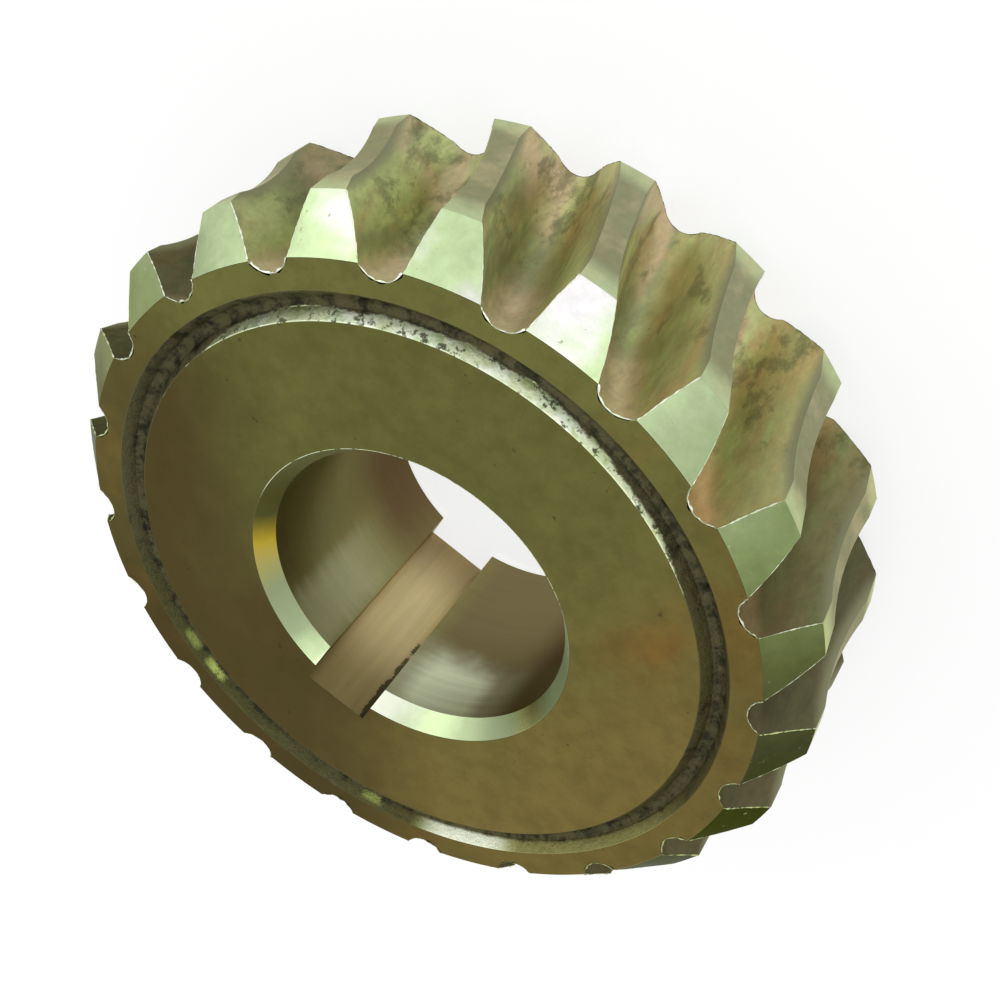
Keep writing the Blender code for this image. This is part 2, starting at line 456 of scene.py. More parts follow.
def make_blank(sizes, materials):
    """Spin the half section and give each ring of faces its surface."""
    work = bmesh.new()
    ring = [work.verts.new((radius, 0.0, height)) for radius, height in blank_outline(sizes)]
    edges = [work.edges.new((ring[i - 1], ring[i])) for i in range(len(ring))]
    bmesh.ops.spin(work, geom=ring + edges, cent=(0, 0, 0), axis=(0, 0, 1), angle=math.tau,
                   steps=ROUND_STEPS_A_TOOTH * sizes.teeth, use_merge=True)
    bmesh.ops.recalc_face_normals(work, faces=work.faces)
    for face in work.faces:
        surface = surface_of(sizes, face.calc_center_median(), face.normal)
        face.material_index = SURFACES.index(surface)
    blank = new_object("worm_wheel_bronze", work)
    for surface in SURFACES:
        blank.data.materials.append(materials[surface])
    return blank


def thread_outline(sizes):
    """Section of the worm thread that fits a gap, with hollow flanks and a round tip."""
    pitch = sizes.worm_diameter / 2
    tip = pitch + sizes.module + sizes.root_clearance
    flank = sizes.flank_radius
    middle_side = sizes.gap_at_pitch / 2 + flank * math.cos(sizes.flank_angle)
    middle_reach = pitch + flank * math.sin(sizes.flank_angle)
    below = middle_reach - tip
    tip_radius = (middle_side ** 2 + below ** 2 - flank ** 2) / (2 * (flank - below))
    inner = centre_distance(sizes) - outside_radius(sizes) - CUT_OVERRUN
    start = math.asin((middle_reach - inner) / flank)
    meet = math.asin((below + tip_radius) / (flank + tip_radius))
    right = []
    for step in range(FLANK_STEPS):
        angle = start + (meet - start) * step / FLANK_STEPS
        right.append((middle_side - flank * math.cos(angle),
                      middle_reach - flank * math.sin(angle)))
    for step in range(ROOT_STEPS):
        angle = meet + (math.pi / 2 - meet) * step / ROOT_STEPS
        right.append((tip_radius * math.cos(angle),
                      tip - tip_radius + tip_radius * math.sin(angle)))
    left = [(-side, reach) for side, reach in reversed(right)]
    return right + [(0.0, tip)] + left


def make_gap_cutter(sizes, number, material):
    """Sweep the thread's section along its helix round the worm's axis."""
    distance = centre_distance(sizes)
    face_radius = outside_radius(sizes) - sizes.end_chamfer_width
    swing = math.atan2(half_width(), distance - face_radius) + SWING_OVERRUN
    advance = sizes.module * sizes.worm_starts * swing / 2
    work = bmesh.new()
    ring = [work.verts.new((distance - reach, side, 0.0))
            for side, reach in thread_outline(sizes)]
    first = work.faces.new(ring)
    worm_axis = Vector((distance, 0.0, 0.0))
    bmesh.ops.rotate(work, verts=ring, cent=worm_axis, matrix=Matrix.Rotation(-swing, 3, "Y"))
    bmesh.ops.translate(work, verts=ring, vec=(0.0, advance, 0.0))
    bmesh.ops.spin(work, geom=list(first.edges), cent=worm_axis, axis=(0, 1, 0),
                   dvec=(0.0, -2 * advance / GAP_STEPS, 0.0), angle=2 * swing, steps=GAP_STEPS)
    bmesh.ops.holes_fill(work, edges=work.edges, sides=0)
    bmesh.ops.recalc_face_normals(work, faces=work.faces)
    angle = sizes.first_tooth_angle + (number + 0.5) * math.tau / sizes.teeth
    bmesh.ops.rotate(work, verts=work.verts, cent=(0, 0, 0), matrix=Matrix.Rotation(angle, 3, "Z"))
    cutter = new_object("gap_cutter_%02d" % number, work)
    cutter.data.materials.append(material)
    return cutter


def make_keyway_cutter(sizes, material):
    """A bar as wide as the key, from inside the bore to the keyway's floor."""
    floor = sizes.bore_diameter / 2 + sizes.keyway_depth
    start = sizes.bore_diameter / 4
    work = bmesh.new()
    bmesh.ops.create_cube(work, size=1.0)
    bmesh.ops.scale(work, verts=work.verts,
                    vec=(floor - start, sizes.keyway_width, 2 * (half_width() + CUT_OVERRUN)))
    bmesh.ops.translate(work, verts=work.verts, vec=((floor + start) / 2, 0.0, 0.0))
    cutter = new_object("keyway_cutter", work)
    cutter.data.materials.append(material)
    return cutter


def cut(blank, cutters):
    """Cut the blank with all the cutters at once, and delete them."""
    group = bpy.data.collections.new("cutters")
    bpy.context.scene.collection.children.link(group)
    for cutter in cutters:
        bpy.context.scene.collection.objects.unlink(cutter)
        group.objects.link(cutter)
    boolean = blank.modifiers.new("gaps_and_keyway", "BOOLEAN")
    boolean.operation = "DIFFERENCE"
    boolean.solver = "EXACT"
    boolean.operand_type = "COLLECTION"
    boolean.collection = group
    boolean.material_mode = "TRANSFER"
    bpy.context.view_layer.update()
    shape = blank.evaluated_get(bpy.context.evaluated_depsgraph_get())
    mesh = bpy.data.meshes.new_from_object(shape)
    blank.modifiers.clear()
    blank.data = mesh
    for cutter in cutters:
        bpy.data.objects.remove(cutter, do_unlink=True)
    bpy.data.collections.remove(group)


def smooth_shading(wheel):
    """Weld the cut's slivers and shade everything smooth that isn't an edge."""
    work = bmesh.new()
    work.from_mesh(wheel.data)
    bmesh.ops.remove_doubles(work, verts=work.verts, dist=WELD_DISTANCE)
    bmesh.ops.dissolve_degenerate(work, edges=work.edges, dist=WELD_DISTANCE)
    work.to_mesh(wheel.data)
    work.free()
    wheel.data.shade_smooth()
    wheel.data.set_sharp_from_angle(angle=SMOOTH_BELOW)
    flat = wheel.modifiers.new("flat_faces_stay_flat", "WEIGHTED_NORMAL")
    flat.keep_sharp = True
    flat.weight = FLAT_FACE_WEIGHT


def cutter_edges(wheel):
    """Chains of points where the gaps' surface meets a face or a tooth end."""
    flank = SURFACES.index("tooth_flank")
    cut_by = (SURFACES.index("turned_face"), SURFACES.index("tooth_end"))
    work = bmesh.new()
    work.from_mesh(wheel.data)
    left = set()
    for edge in work.edges:
        sides = [face.material_index for face in edge.link_faces]
        if len(sides) == 2 and flank in sides and (sides[0] in cut_by or sides[1] in cut_by):
            left.add(edge)
    chains = []
    while left:
        chain = list(left.pop().verts)
        for end in (0, -1):
            while True:
                tip = chain[end]
                onward = [other for other in tip.link_edges if other in left]
                if not onward:
                    break
                left.remove(onward[0])
                following = onward[0].other_vert(tip)
                chain.insert(0 if end == 0 else len(chain), following)
        points = [vert.co.copy() for vert in chain]
        # The cut's edges come in any order, so each chain is turned to start at the same end
        if tuple(points[0]) > tuple(points[-1]):
            points.reverse()
        chains.append(points)
    work.free()
    return chains


def evenly_spaced(points, spacing):
    """Points at an even spacing along a chain."""
    spaced = [points[0]]
    carried = 0.0
    for first, second in zip(points, points[1:]):
        length = (second - first).length
        place = spacing - carried
        while place < length:
            spaced.append(first.lerp(second, place / length))
            place += spacing
        carried = (carried + length) % spacing
    return spaced


def burr_section(work, sizes, centre, along, tall):
    """One irregular ring of a burr, flattened so that it stays inside the blank."""
    lumps = noise.noise(centre / sizes.burr_size * BURR_LUMPS)
    rough = lumps + BURR_GRIT * noise.noise(centre / sizes.burr_size)
    thick = min(THICKEST_BURR, max(THINNEST_BURR, BURR_MEAN + BURR_SWING * rough))
    thick = sizes.burr_size * tall * thick
    across = along.orthogonal().normalized()
    up = along.cross(across)
    ring = []
    for step in range(BURR_SIDES):
        angle = math.tau * step / BURR_SIDES
        point = centre + thick * (math.cos(angle) * across + math.sin(angle) * up)
        point.z = max(-half_width(), min(half_width(), point.z))
        reach = math.hypot(point.x, point.y)
        if reach > outside_radius(sizes):
            point.xy *= outside_radius(sizes) / reach
        ring.append(work.verts.new(point))
    return ring


def gap_twist(sizes):
    """How far a gap turns about the wheel's axis for each metre of height."""
    return 2 * sizes.worm_starts / (sizes.worm_diameter * sizes.teeth)


def catches_light(sizes, point):
    """Whether a gap's edge is on the side of the gap whose burr shows."""
    azimuth = math.atan2(point.y, point.x)
    gap = sizes.first_tooth_angle + math.pi / sizes.teeth
    side = math.sin((azimuth - gap + gap_twist(sizes) * point.z) * sizes.teeth)
    return side * math.sin(azimuth - LIT_SIDE) > 0


def make_burrs(sizes, material, wheel):
    """Ragged burrs along the edges where the cutter left the metal."""
    work = bmesh.new()
    for chain in cutter_edges(wheel):
        points = evenly_spaced(chain, sizes.burr_spacing)
        rings = []
        for i, point in enumerate(points):
            along = points[min(i + 1, len(points) - 1)] - points[max(i - 1, 0)]
            on_face = abs(point.z) > half_width() - ON_FACE
            tall = sizes.root_burr if on_face else CHAMFER_BURR
            if point.z < 0 or not (on_face or catches_light(sizes, point)):
                tall = FAINT_BURR
            rings.append(burr_section(work, sizes, point, along.normalized(), tall))
        for first, second in zip(rings, rings[1:]):
            for step in range(BURR_SIDES):
                onward = (step + 1) % BURR_SIDES
                work.faces.new((first[step], first[onward], second[onward], second[step]))
        if len(rings) > 1:
            work.faces.new(list(reversed(rings[0])))
            work.faces.new(rings[-1])
    bmesh.ops.recalc_face_normals(work, faces=work.faces)
    burrs = new_object("burrs", work)
    burrs.data.materials.append(material)
    burrs.data.shade_smooth()
    return burrs


# Operators

def finish_piece(piece):
    """Put a piece on the wheel's body."""
    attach(piece, BODY)


class WORMWHEEL_OT_wheel(bpy.types.Operator):
    """Turn the blank, cut the gaps and the keyway and finish the surfaces"""

    bl_idname = "wormwheel.wheel"
    bl_label = "Model the Wheel"

    def execute(self, context):
        sizes = context.scene.wheel_sizes
        materials = make_materials(context.scene.wheel_finish, sizes)
        wheel = make_blank(sizes, materials)
        cutters = [make_gap_cutter(sizes, number, materials["tooth_flank"])
                   for number in range(sizes.teeth)]
        cutters.append(make_keyway_cutter(sizes, materials["keyway"]))
        cut(wheel, cutters)
        smooth_shading(wheel)
        finish_piece(wheel)
        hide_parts(NODE)
        return {"FINISHED"}


class WORMWHEEL_OT_burrs(bpy.types.Operator):
    """Lay ragged burrs along the edges of the gaps on both faces"""

    bl_idname = "wormwheel.burrs"
    bl_label = "Add the Burrs"

    def execute(self, context):
        sizes = context.scene.wheel_sizes
        wheel = bpy.data.objects["worm_wheel_bronze"]
        burrs = make_burrs(sizes, burr_metal(context.scene.wheel_finish), wheel)
        finish_piece(burrs)
        return {"FINISHED"}


# Materials

class Bench:
    """A material being made, with short calls for its nodes."""

    def __init__(self, name, roughness, metallic=1.0):
        self.material = bpy.data.materials.new(name)
        self.material.use_nodes = True
        self.tree = self.material.node_tree
        self.shader = self.tree.nodes["Principled BSDF"]
        self.shader.inputs["Metallic"].default_value = metallic
        self.shader.inputs["Roughness"].default_value = roughness
        self.shader.inputs["Specular Tint"].default_value = GRAZING_TINT
        self.place = self.add("ShaderNodeTexCoord").outputs["Object"]

    def add(self, kind, **settings):
        """Add a node and set its options."""
        node = self.tree.nodes.new(kind)
        for setting, value in settings.items():
            setattr(node, setting, value)
        return node

    def feed(self, socket, value):
        """Link an output to a socket, or set the socket's value."""
        if isinstance(value, bpy.types.NodeSocket):
            self.tree.links.new(value, socket)
        else:
            socket.default_value = value

    def maths(self, operation, first, second=0.0, third=0.0):
        """The result of a Math node."""
        node = self.add("ShaderNodeMath", operation=operation)
        for socket, value in zip(node.inputs, (first, second, third)):
            self.feed(socket, value)
        return node.outputs[0]

    def times(self, first, second):
        """Two values multiplied."""
        return self.maths("MULTIPLY", first, second)

    def scaled(self, value, factor, offset):
        """A value times a factor, plus an offset."""
        return self.maths("MULTIPLY_ADD", value, factor, offset)

    def stretched(self, factors):
        """The place on the piece, stretched along X, Y and Z."""
        node = self.add("ShaderNodeVectorMath", operation="MULTIPLY")
        self.feed(node.inputs[0], self.place)
        self.feed(node.inputs[1], factors)
        return node.outputs[0]

    def cloud(self, size, detail=3.0, stretch=(1, 1, 1), seed=0.0, roughness=0.55):
        """Soft noise whose blobs are about size across."""
        node = self.add("ShaderNodeTexNoise", noise_dimensions="4D")
        self.feed(node.inputs["Vector"], self.stretched(stretch))
        self.feed(node.inputs["W"], seed)
        self.feed(node.inputs["Scale"], 0.5 / size)
        self.feed(node.inputs["Detail"], detail)
        self.feed(node.inputs["Roughness"], roughness)
        return node.outputs["Fac"]

    def between(self, value, low, high):
        """0 below low, 1 above high, smooth between them."""
        node = self.add("ShaderNodeMapRange", interpolation_type="SMOOTHSTEP")
        self.feed(node.inputs["Value"], value)
        self.feed(node.inputs["From Min"], low)
        self.feed(node.inputs["From Max"], high)
        return node.outputs["Result"]

    def mix(self, share, first, second):
        """A colour between two, by share."""
        node = self.add("ShaderNodeMix", data_type="RGBA")
        self.feed(node.inputs["Factor"], share)
        for socket, value in ((MIX_FIRST, first), (MIX_SECOND, second)):
            plain = not isinstance(value, bpy.types.NodeSocket)
            self.feed(node.inputs[socket], (*value, 1.0) if plain else value)
        return node.outputs[MIX_RESULT]

    def ramp(self, value, stops):
        """A colour from a row of (position, colour) stops."""
        node = self.add("ShaderNodeValToRGB")
        band = node.color_ramp
        while len(band.elements) < len(stops):
            band.elements.new(1.0)
        for element, (position, tint) in zip(band.elements, stops):
            element.position = position
            element.color = (*tint, 1.0)
        self.feed(node.inputs["Fac"], value)
        return node.outputs["Color"]

    def edge(self, reach):
        """1 on an edge of the piece, 0 beyond reach of it, torn a little."""
        rounded = self.add("ShaderNodeBevel", samples=EDGE_SAMPLES)
        self.feed(rounded.inputs["Radius"], reach)
        flat = self.add("ShaderNodeNewGeometry")
        same = self.add("ShaderNodeVectorMath", operation="DOT_PRODUCT")
        self.feed(same.inputs[0], rounded.outputs[0])
        self.feed(same.inputs[1], flat.outputs["Normal"])
        torn = self.cloud(0.8 * MM, detail=4, seed=41.0, roughness=0.7)
        turned = self.maths("SUBTRACT", EDGE_TURN, same.outputs["Value"])
        return self.between(self.scaled(torn, EDGE_TEAR, turned), 0.02, 0.10)

    def grazing(self, share, tint):
        """Take the colour at grazing angles from the plain bronze's to a tint, by share."""
        self.feed(self.shader.inputs["Specular Tint"], self.mix(share, GRAZING_TINT[:3], tint))

    def shade(self, tint, amount):
        """A colour made darker or lighter by amount."""
        node = self.add("ShaderNodeVectorMath", operation="SCALE")
        self.feed(node.inputs[0], tint)
        self.feed(node.inputs["Scale"], amount)
        return node.outputs[0]

    def radius(self):
        """Distance from the wheel's axis."""
        node = self.add("ShaderNodeVectorMath", operation="LENGTH")
        self.feed(node.inputs[0], self.stretched((1, 1, 0)))
        return node.outputs["Value"]

    def distance(self, point):
        """Distance from a point."""
        node = self.add("ShaderNodeVectorMath", operation="DISTANCE")
        self.feed(node.inputs[0], self.place)
        self.feed(node.inputs[1], point)
        return node.outputs["Value"]

    def height(self):
        """Height along the wheel's axis."""
        node = self.add("ShaderNodeSeparateXYZ")
        self.feed(node.inputs[0], self.place)
        return node.outputs["Z"]

    def side(self, azimuth):
        """1 towards an azimuth, 0 across it, -1 away from it."""
        level = self.add("ShaderNodeVectorMath", operation="NORMALIZE")
        self.feed(level.inputs[0], self.stretched((1, 1, 0)))
        node = self.add("ShaderNodeVectorMath", operation="DOT_PRODUCT")
        self.feed(node.inputs[0], level.outputs[0])
        self.feed(node.inputs[1], (math.cos(azimuth), math.sin(azimuth), 0))
        return node.outputs["Value"]

    def towards(self, azimuth, low, high):
        """1 near an azimuth and 0 away from it, with low and high as cosines of the angle."""
        return self.between(self.side(azimuth), low, high)

    def azimuth(self, zero):
        """Angle round the wheel's axis, counted from an azimuth."""
        turned = self.add("ShaderNodeVectorRotate", rotation_type="Z_AXIS")
        self.feed(turned.inputs["Vector"], self.place)
        self.feed(turned.inputs["Angle"], -zero)
        split = self.add("ShaderNodeSeparateXYZ")
        self.feed(split.inputs[0], turned.outputs[0])
        return self.maths("ARCTAN2", split.outputs["Y"], split.outputs["X"])

    def along(self, azimuth):
        """Distance from the axis in the direction of an azimuth."""
        node = self.add("ShaderNodeVectorMath", operation="DOT_PRODUCT")
        self.feed(node.inputs[0], self.place)
        self.feed(node.inputs[1], (math.cos(azimuth), math.sin(azimuth), 0))
        return node.outputs["Value"]

    def relief(self, height, depth):
        """Bump the surface by height times depth."""
        node = self.add("ShaderNodeBump")
        self.feed(node.inputs["Height"], height)
        self.feed(node.inputs["Distance"], depth)
        self.feed(node.inputs["Strength"], 1.0)
        self.feed(self.shader.inputs["Normal"], node.outputs[0])

    def wear(self, value, low, high):
        """Set the roughness between low and high by value."""
        node = self.add("ShaderNodeMapRange")
        self.feed(node.inputs["Value"], value)
        self.feed(node.inputs["To Min"], low)
        self.feed(node.inputs["To Max"], high)
        self.feed(self.shader.inputs["Roughness"], node.outputs["Result"])

    def done(self, tint):
        """Give the shader its colour and hand the material over."""
        self.feed(self.shader.inputs["Base Color"], tint)
        return self.material


def turned_face(finish, sizes):
    """Turned face: dulled olive with brown and golden clouds and faint turning marks."""
    bench = Bench("turned_face", 0.42)
    groove_radius = outside_radius(sizes) - sizes.end_chamfer_width - sizes.rim_land
    clouds = bench.cloud(13 * MM, detail=4, seed=2.0)
    drift = bench.scaled(clouds, 44 * MM, -22 * MM)
    browner = bench.maths("ADD", bench.along(BROWN_SIDE), drift)
    golden = bench.maths("ADD", bench.along(GOLDEN_SIDE), drift)
    tint = bench.mix(bench.between(golden, -14 * MM, 30 * MM), finish.olive, finish.gold)
    tint = bench.mix(bench.between(browner, 0.0, 30 * MM), tint, finish.brown)
    from_stain = bench.maths("ADD", bench.distance((*RUST_STAIN, half_width())), drift)
    patches = bench.between(bench.cloud(4 * MM, seed=5.0), 0.4, 0.62)
    stained = bench.times(bench.between(from_stain, 11 * MM, 2 * MM), patches)
    ring = bench.between(bench.radius(), groove_radius - 1 * MM, groove_radius)
    blotches = bench.between(bench.cloud(5.5 * MM, detail=4, seed=27.0), 0.50, 0.72)
    blotches = bench.times(blotches, 0.6)
    stained = bench.maths("MAXIMUM", stained, bench.times(ring, blotches))
    tint = bench.mix(bench.times(stained, 0.72), tint, finish.rust)
    left_ring = bench.times(ring, bench.towards(OLIVE_RING_SIDE, 0.6, 0.9))
    tint = bench.mix(bench.times(left_ring, 0.25), tint, finish.olive)
    fine = bench.cloud(1.6 * MM, detail=5, seed=9.0, roughness=0.65)
    tone = bench.scaled(fine, 0.55, 0.68)
    # Painted light: the ring outside the groove darker, and lighter towards the side of the light
    ring_lighting = bench.times(ring, bench.towards(LIT_RING_SIDE, -0.2, 0.6))
    tone = bench.scaled(ring_lighting, 0.38, tone)
    tone = bench.scaled(ring, -0.17, tone)
    tone = bench.scaled(bench.cloud(6 * MM, detail=3, seed=33.0), 0.34, tone)
    tint = bench.shade(tint, bench.maths("SUBTRACT", tone, 0.06))
    mottle = bench.between(bench.cloud(1.1 * MM, detail=4, seed=61.0, roughness=0.7), 0.40, 0.64)
    tint = bench.mix(bench.times(mottle, 0.22), tint, finish.brown)
    specks = bench.between(bench.cloud(0.7 * MM, detail=2, seed=14.0), 0.70, 0.76)
    tint = bench.mix(bench.times(specks, 0.6), tint, finish.grime)
    # Painted highlight: worn edges paled only on the side of the light, away from the groove
    bright = bench.towards(LIT_SIDE, -0.2, 0.7)
    away = bench.between(bench.radius(), groove_radius - 4 * MM, groove_radius - 3.5 * MM)
    bright = bench.times(bright, away)
    tint = bench.mix(bench.times(bench.edge(0.16 * MM), bright), tint, finish.tip_pale)
    marks = bench.add("ShaderNodeTexNoise", noise_dimensions="1D")
    bench.feed(marks.inputs["W"], bench.radius())
    bench.feed(marks.inputs["Scale"], 0.5 / (0.25 * MM))
    bench.feed(marks.inputs["Detail"], 2.0)
    bench.wear(fine, 0.36, 0.52)
    bench.relief(bench.scaled(marks.outputs["Fac"], 0.5, fine), 0.016 * MM)
    return bench.done(tint)


def groove(finish, sizes):
    """Face groove: dirty and pitted, with painted shade, a torn painted highlight and painted glints.
    """
    bench = Bench("groove", 0.6)
    outer = outside_radius(sizes) - sizes.end_chamfer_width - sizes.rim_land
    inner = outer - sizes.groove_width
    torn = bench.cloud(0.8 * MM, detail=6, seed=3.0, roughness=0.75)
    lumps = bench.cloud(2.4 * MM, detail=4, seed=35.0, roughness=0.6)
    ragged = bench.scaled(torn, 0.9 * MM, -0.85 * MM)
    ragged = bench.scaled(lumps, 0.8 * MM, ragged)
    place = bench.maths("ADD", bench.radius(), ragged)
    lower = bench.towards(LOWER_SIDE, 0.0, 0.5)
    upper = bench.towards(UPPER_SIDE, 0.3, 0.7)
    off_middle = bench.maths("ABSOLUTE", bench.maths("SUBTRACT", place, (inner + outer) / 2))
    right = bench.towards(RIGHT_SIDE, 0.1, 0.6)
    walls = bench.between(bench.scaled(right, 0.15 * MM, off_middle), 0.5 * MM, 1.1 * MM)
    # Painted shadow: on the upper side the walls keep the dark colour of the floor
    walls = bench.times(walls, bench.scaled(upper, -0.85, 1.0))
    walls = bench.times(walls, bench.between(lumps, 0.3, 0.5))
    wall_tint = bench.mix(lower, finish.groove_grey, finish.groove_olive)
    wall_tint = bench.mix(right, wall_tint, finish.groove_brown)
    floor_tint = bench.mix(bench.between(torn, 0.38, 0.58), finish.grime, finish.groove_grey)
    tint = bench.mix(walls, floor_tint, wall_tint)
    # Painted highlight on the inner wall on the upper side, broken by pits, with lime patches
    wide = bench.towards(WIDE_HIGHLIT_WALL, 0.7, 0.92)
    fade = bench.towards(HIGHLIT_WALL, 0.50, 0.84)
    reach = bench.scaled(wide, 0.45 * MM, inner - 0.13 * MM)
    reach = bench.scaled(fade, 0.45 * MM, reach)
    inside = bench.maths("SUBTRACT", reach, place)
    wall_highlight = bench.between(inside, -0.08 * MM, 0.12 * MM)
    wall_highlight = bench.times(wall_highlight, bench.towards(UPPER_SIDE, 0.30, 0.55))
    pits = bench.between(bench.cloud(0.5 * MM, detail=5, seed=52.0, roughness=0.7), 0.53, 0.60)
    wall_highlight = bench.times(wall_highlight, bench.scaled(pits, -0.9, 1.0))
    pale = bench.mix(bench.between(torn, 0.36, 0.56), finish.end_clear, finish.groove_white)
    limy = bench.times(bench.between(lumps, 0.56, 0.44), 0.4)
    pale = bench.mix(limy, pale, finish.groove_lime)
    tint = bench.mix(wall_highlight, tint, pale)
    smoother = bench.scaled(ragged, 0.3, bench.radius())
    outer_wall = bench.between(smoother, outer - 0.85 * MM, outer - 0.6 * MM)
    lit = bench.towards(LIT_WALL, 0.976, 0.998)
    shine = bench.mix(lit, finish.groove_lime, finish.burr)
    # Painted glints on the outer wall, broken by the torn noise
    glint_spots = bench.towards(STRONG_GLINT, 0.9983, 0.9999)
    for azimuth in FAINT_GLINTS:
        glint_spot = bench.towards(azimuth, 0.9988, 0.9999)
        glint_spots = bench.maths("MAXIMUM", glint_spots, bench.times(glint_spot, 0.5))
    glint_spots = bench.times(glint_spots, bench.between(torn, 0.34, 0.52))
    glint_spots = bench.times(glint_spots, bench.between(smoother, outer - 0.1 * MM, outer - 0.4 * MM))
    warm = bench.times(outer_wall, bench.towards(WARM_WALL, 0.86, 0.98))
    tint = bench.mix(warm, tint, finish.bore_olive)
    tint = bench.mix(bench.times(outer_wall, lit), tint, shine)
    tint = bench.mix(bench.times(outer_wall, glint_spots), tint, finish.groove_lime)
    clean = bench.scaled(wall_highlight, -0.75, 1.0)
    bench.wear(bench.times(torn, clean), 0.25, 0.95)
    bench.relief(torn, bench.times(clean, 0.3 * MM))
    return bench.done(tint)


def tooth_end(finish, sizes):
    """Tooth end chamfer: painted light on one side of the wheel, painted shade on the other."""
    bench = Bench("tooth_end", 0.32)
    azimuth = bench.azimuth(HIGHLIT_TOOTH)
    other = bench.maths("COSINE", bench.times(azimuth, sizes.teeth / 2))
    side = bench.side(LIT_END_SIDE)
    other = bench.times(other, bench.between(side, 0.82, 0.94))
    clouds = bench.cloud(3.2 * MM, detail=4, seed=7.0)
    painted_light = bench.scaled(other, 0.075, side)
    painted_light = bench.scaled(clouds, 0.30, bench.maths("SUBTRACT", painted_light, 0.06))
    painted_light = bench.scaled(bench.towards(DIMMED_TOOTH, 0.984, 0.995), -0.085, painted_light)
    # Painted light: the tooth ends shaded to highlit by their side, brightest on alternate teeth
    tint = bench.ramp(bench.scaled(painted_light, 0.8, -0.04), (
        (0.02, finish.end_dull), (0.25, finish.end_olive), (0.46, finish.end_mid),
        (0.66, finish.end_pale), (0.78, finish.end_clear), (0.845, finish.end_bright)))
    shaded_end = bench.between(painted_light, 0.6, 0.1)
    bench.grazing(shaded_end, finish.end_grazing)
    fine = bench.cloud(0.8 * MM, detail=4, seed=1.0, roughness=0.7)
    tint = bench.shade(tint, bench.scaled(fine, 0.5, 0.75))
    pits = bench.between(bench.cloud(0.45 * MM, detail=2, seed=21.0), 0.69, 0.73)
    tint = bench.mix(bench.times(pits, 0.8), tint, finish.flank_grey)
    bench.wear(fine, 0.25, 0.42)
    bench.relief(bench.maths("SUBTRACT", fine, pits), 0.02 * MM)
    return bench.done(tint)


def tooth_tip(finish, sizes):
    """Tooth tip: pale turned lands, paler on the lit side as painted light, and a greyer throat."""
    bench = Bench("tooth_tip", 0.4)
    land = half_width() - sizes.end_chamfer_depth
    level = bench.maths("ABSOLUTE", bench.height())
    clouds = bench.cloud(2.4 * MM, detail=4, seed=11.0)
    level = bench.scaled(clouds, 2 * MM, level)
    ends = bench.between(level, land - 3.0 * MM, land + 0.6 * MM)
    # Painted light: the lands paler on the side of the light
    pale = bench.mix(bench.towards(LIT_SIDE, -0.2, 0.9), finish.flank_olive, finish.tip_pale)
    tint = bench.mix(ends, finish.tip_grey, pale)
    brown = bench.between(clouds, 0.5, 0.68)
    tint = bench.mix(bench.times(brown, 0.35), tint, finish.flank_tan)
    fine = bench.cloud(0.7 * MM, detail=5, seed=44.0, roughness=0.7)
    tint = bench.shade(tint, bench.scaled(fine, 0.6, 0.72))
    tint = bench.mix(bench.times(bench.edge(0.14 * MM), 0.4), tint, finish.tip_pale)
    bench.wear(clouds, 0.32, 0.5)
    bench.relief(bench.cloud(0.5 * MM, detail=3, seed=4.0), 0.012 * MM)
    return bench.done(tint)


def gap_depth(bench, sizes):
    """Distance from the axis of the worm that cut a gap, so it is largest at the gap's root."""
    across = bench.add("ShaderNodeCombineXYZ")
    bench.feed(across.inputs["X"], bench.maths("SUBTRACT", centre_distance(sizes), bench.radius()))
    bench.feed(across.inputs["Y"], bench.height())
    reach = bench.add("ShaderNodeVectorMath", operation="LENGTH")
    bench.feed(reach.inputs[0], across.outputs[0])
    return reach.outputs["Value"]


def gap_side(bench, sizes):
    """-1 on one side of each gap and 1 on the other, following the lean of the teeth."""
    twist = bench.times(bench.height(), gap_twist(sizes))
    gap = bench.azimuth(sizes.first_tooth_angle + math.pi / sizes.teeth)
    return bench.maths("SINE", bench.times(bench.maths("ADD", gap, twist), sizes.teeth))


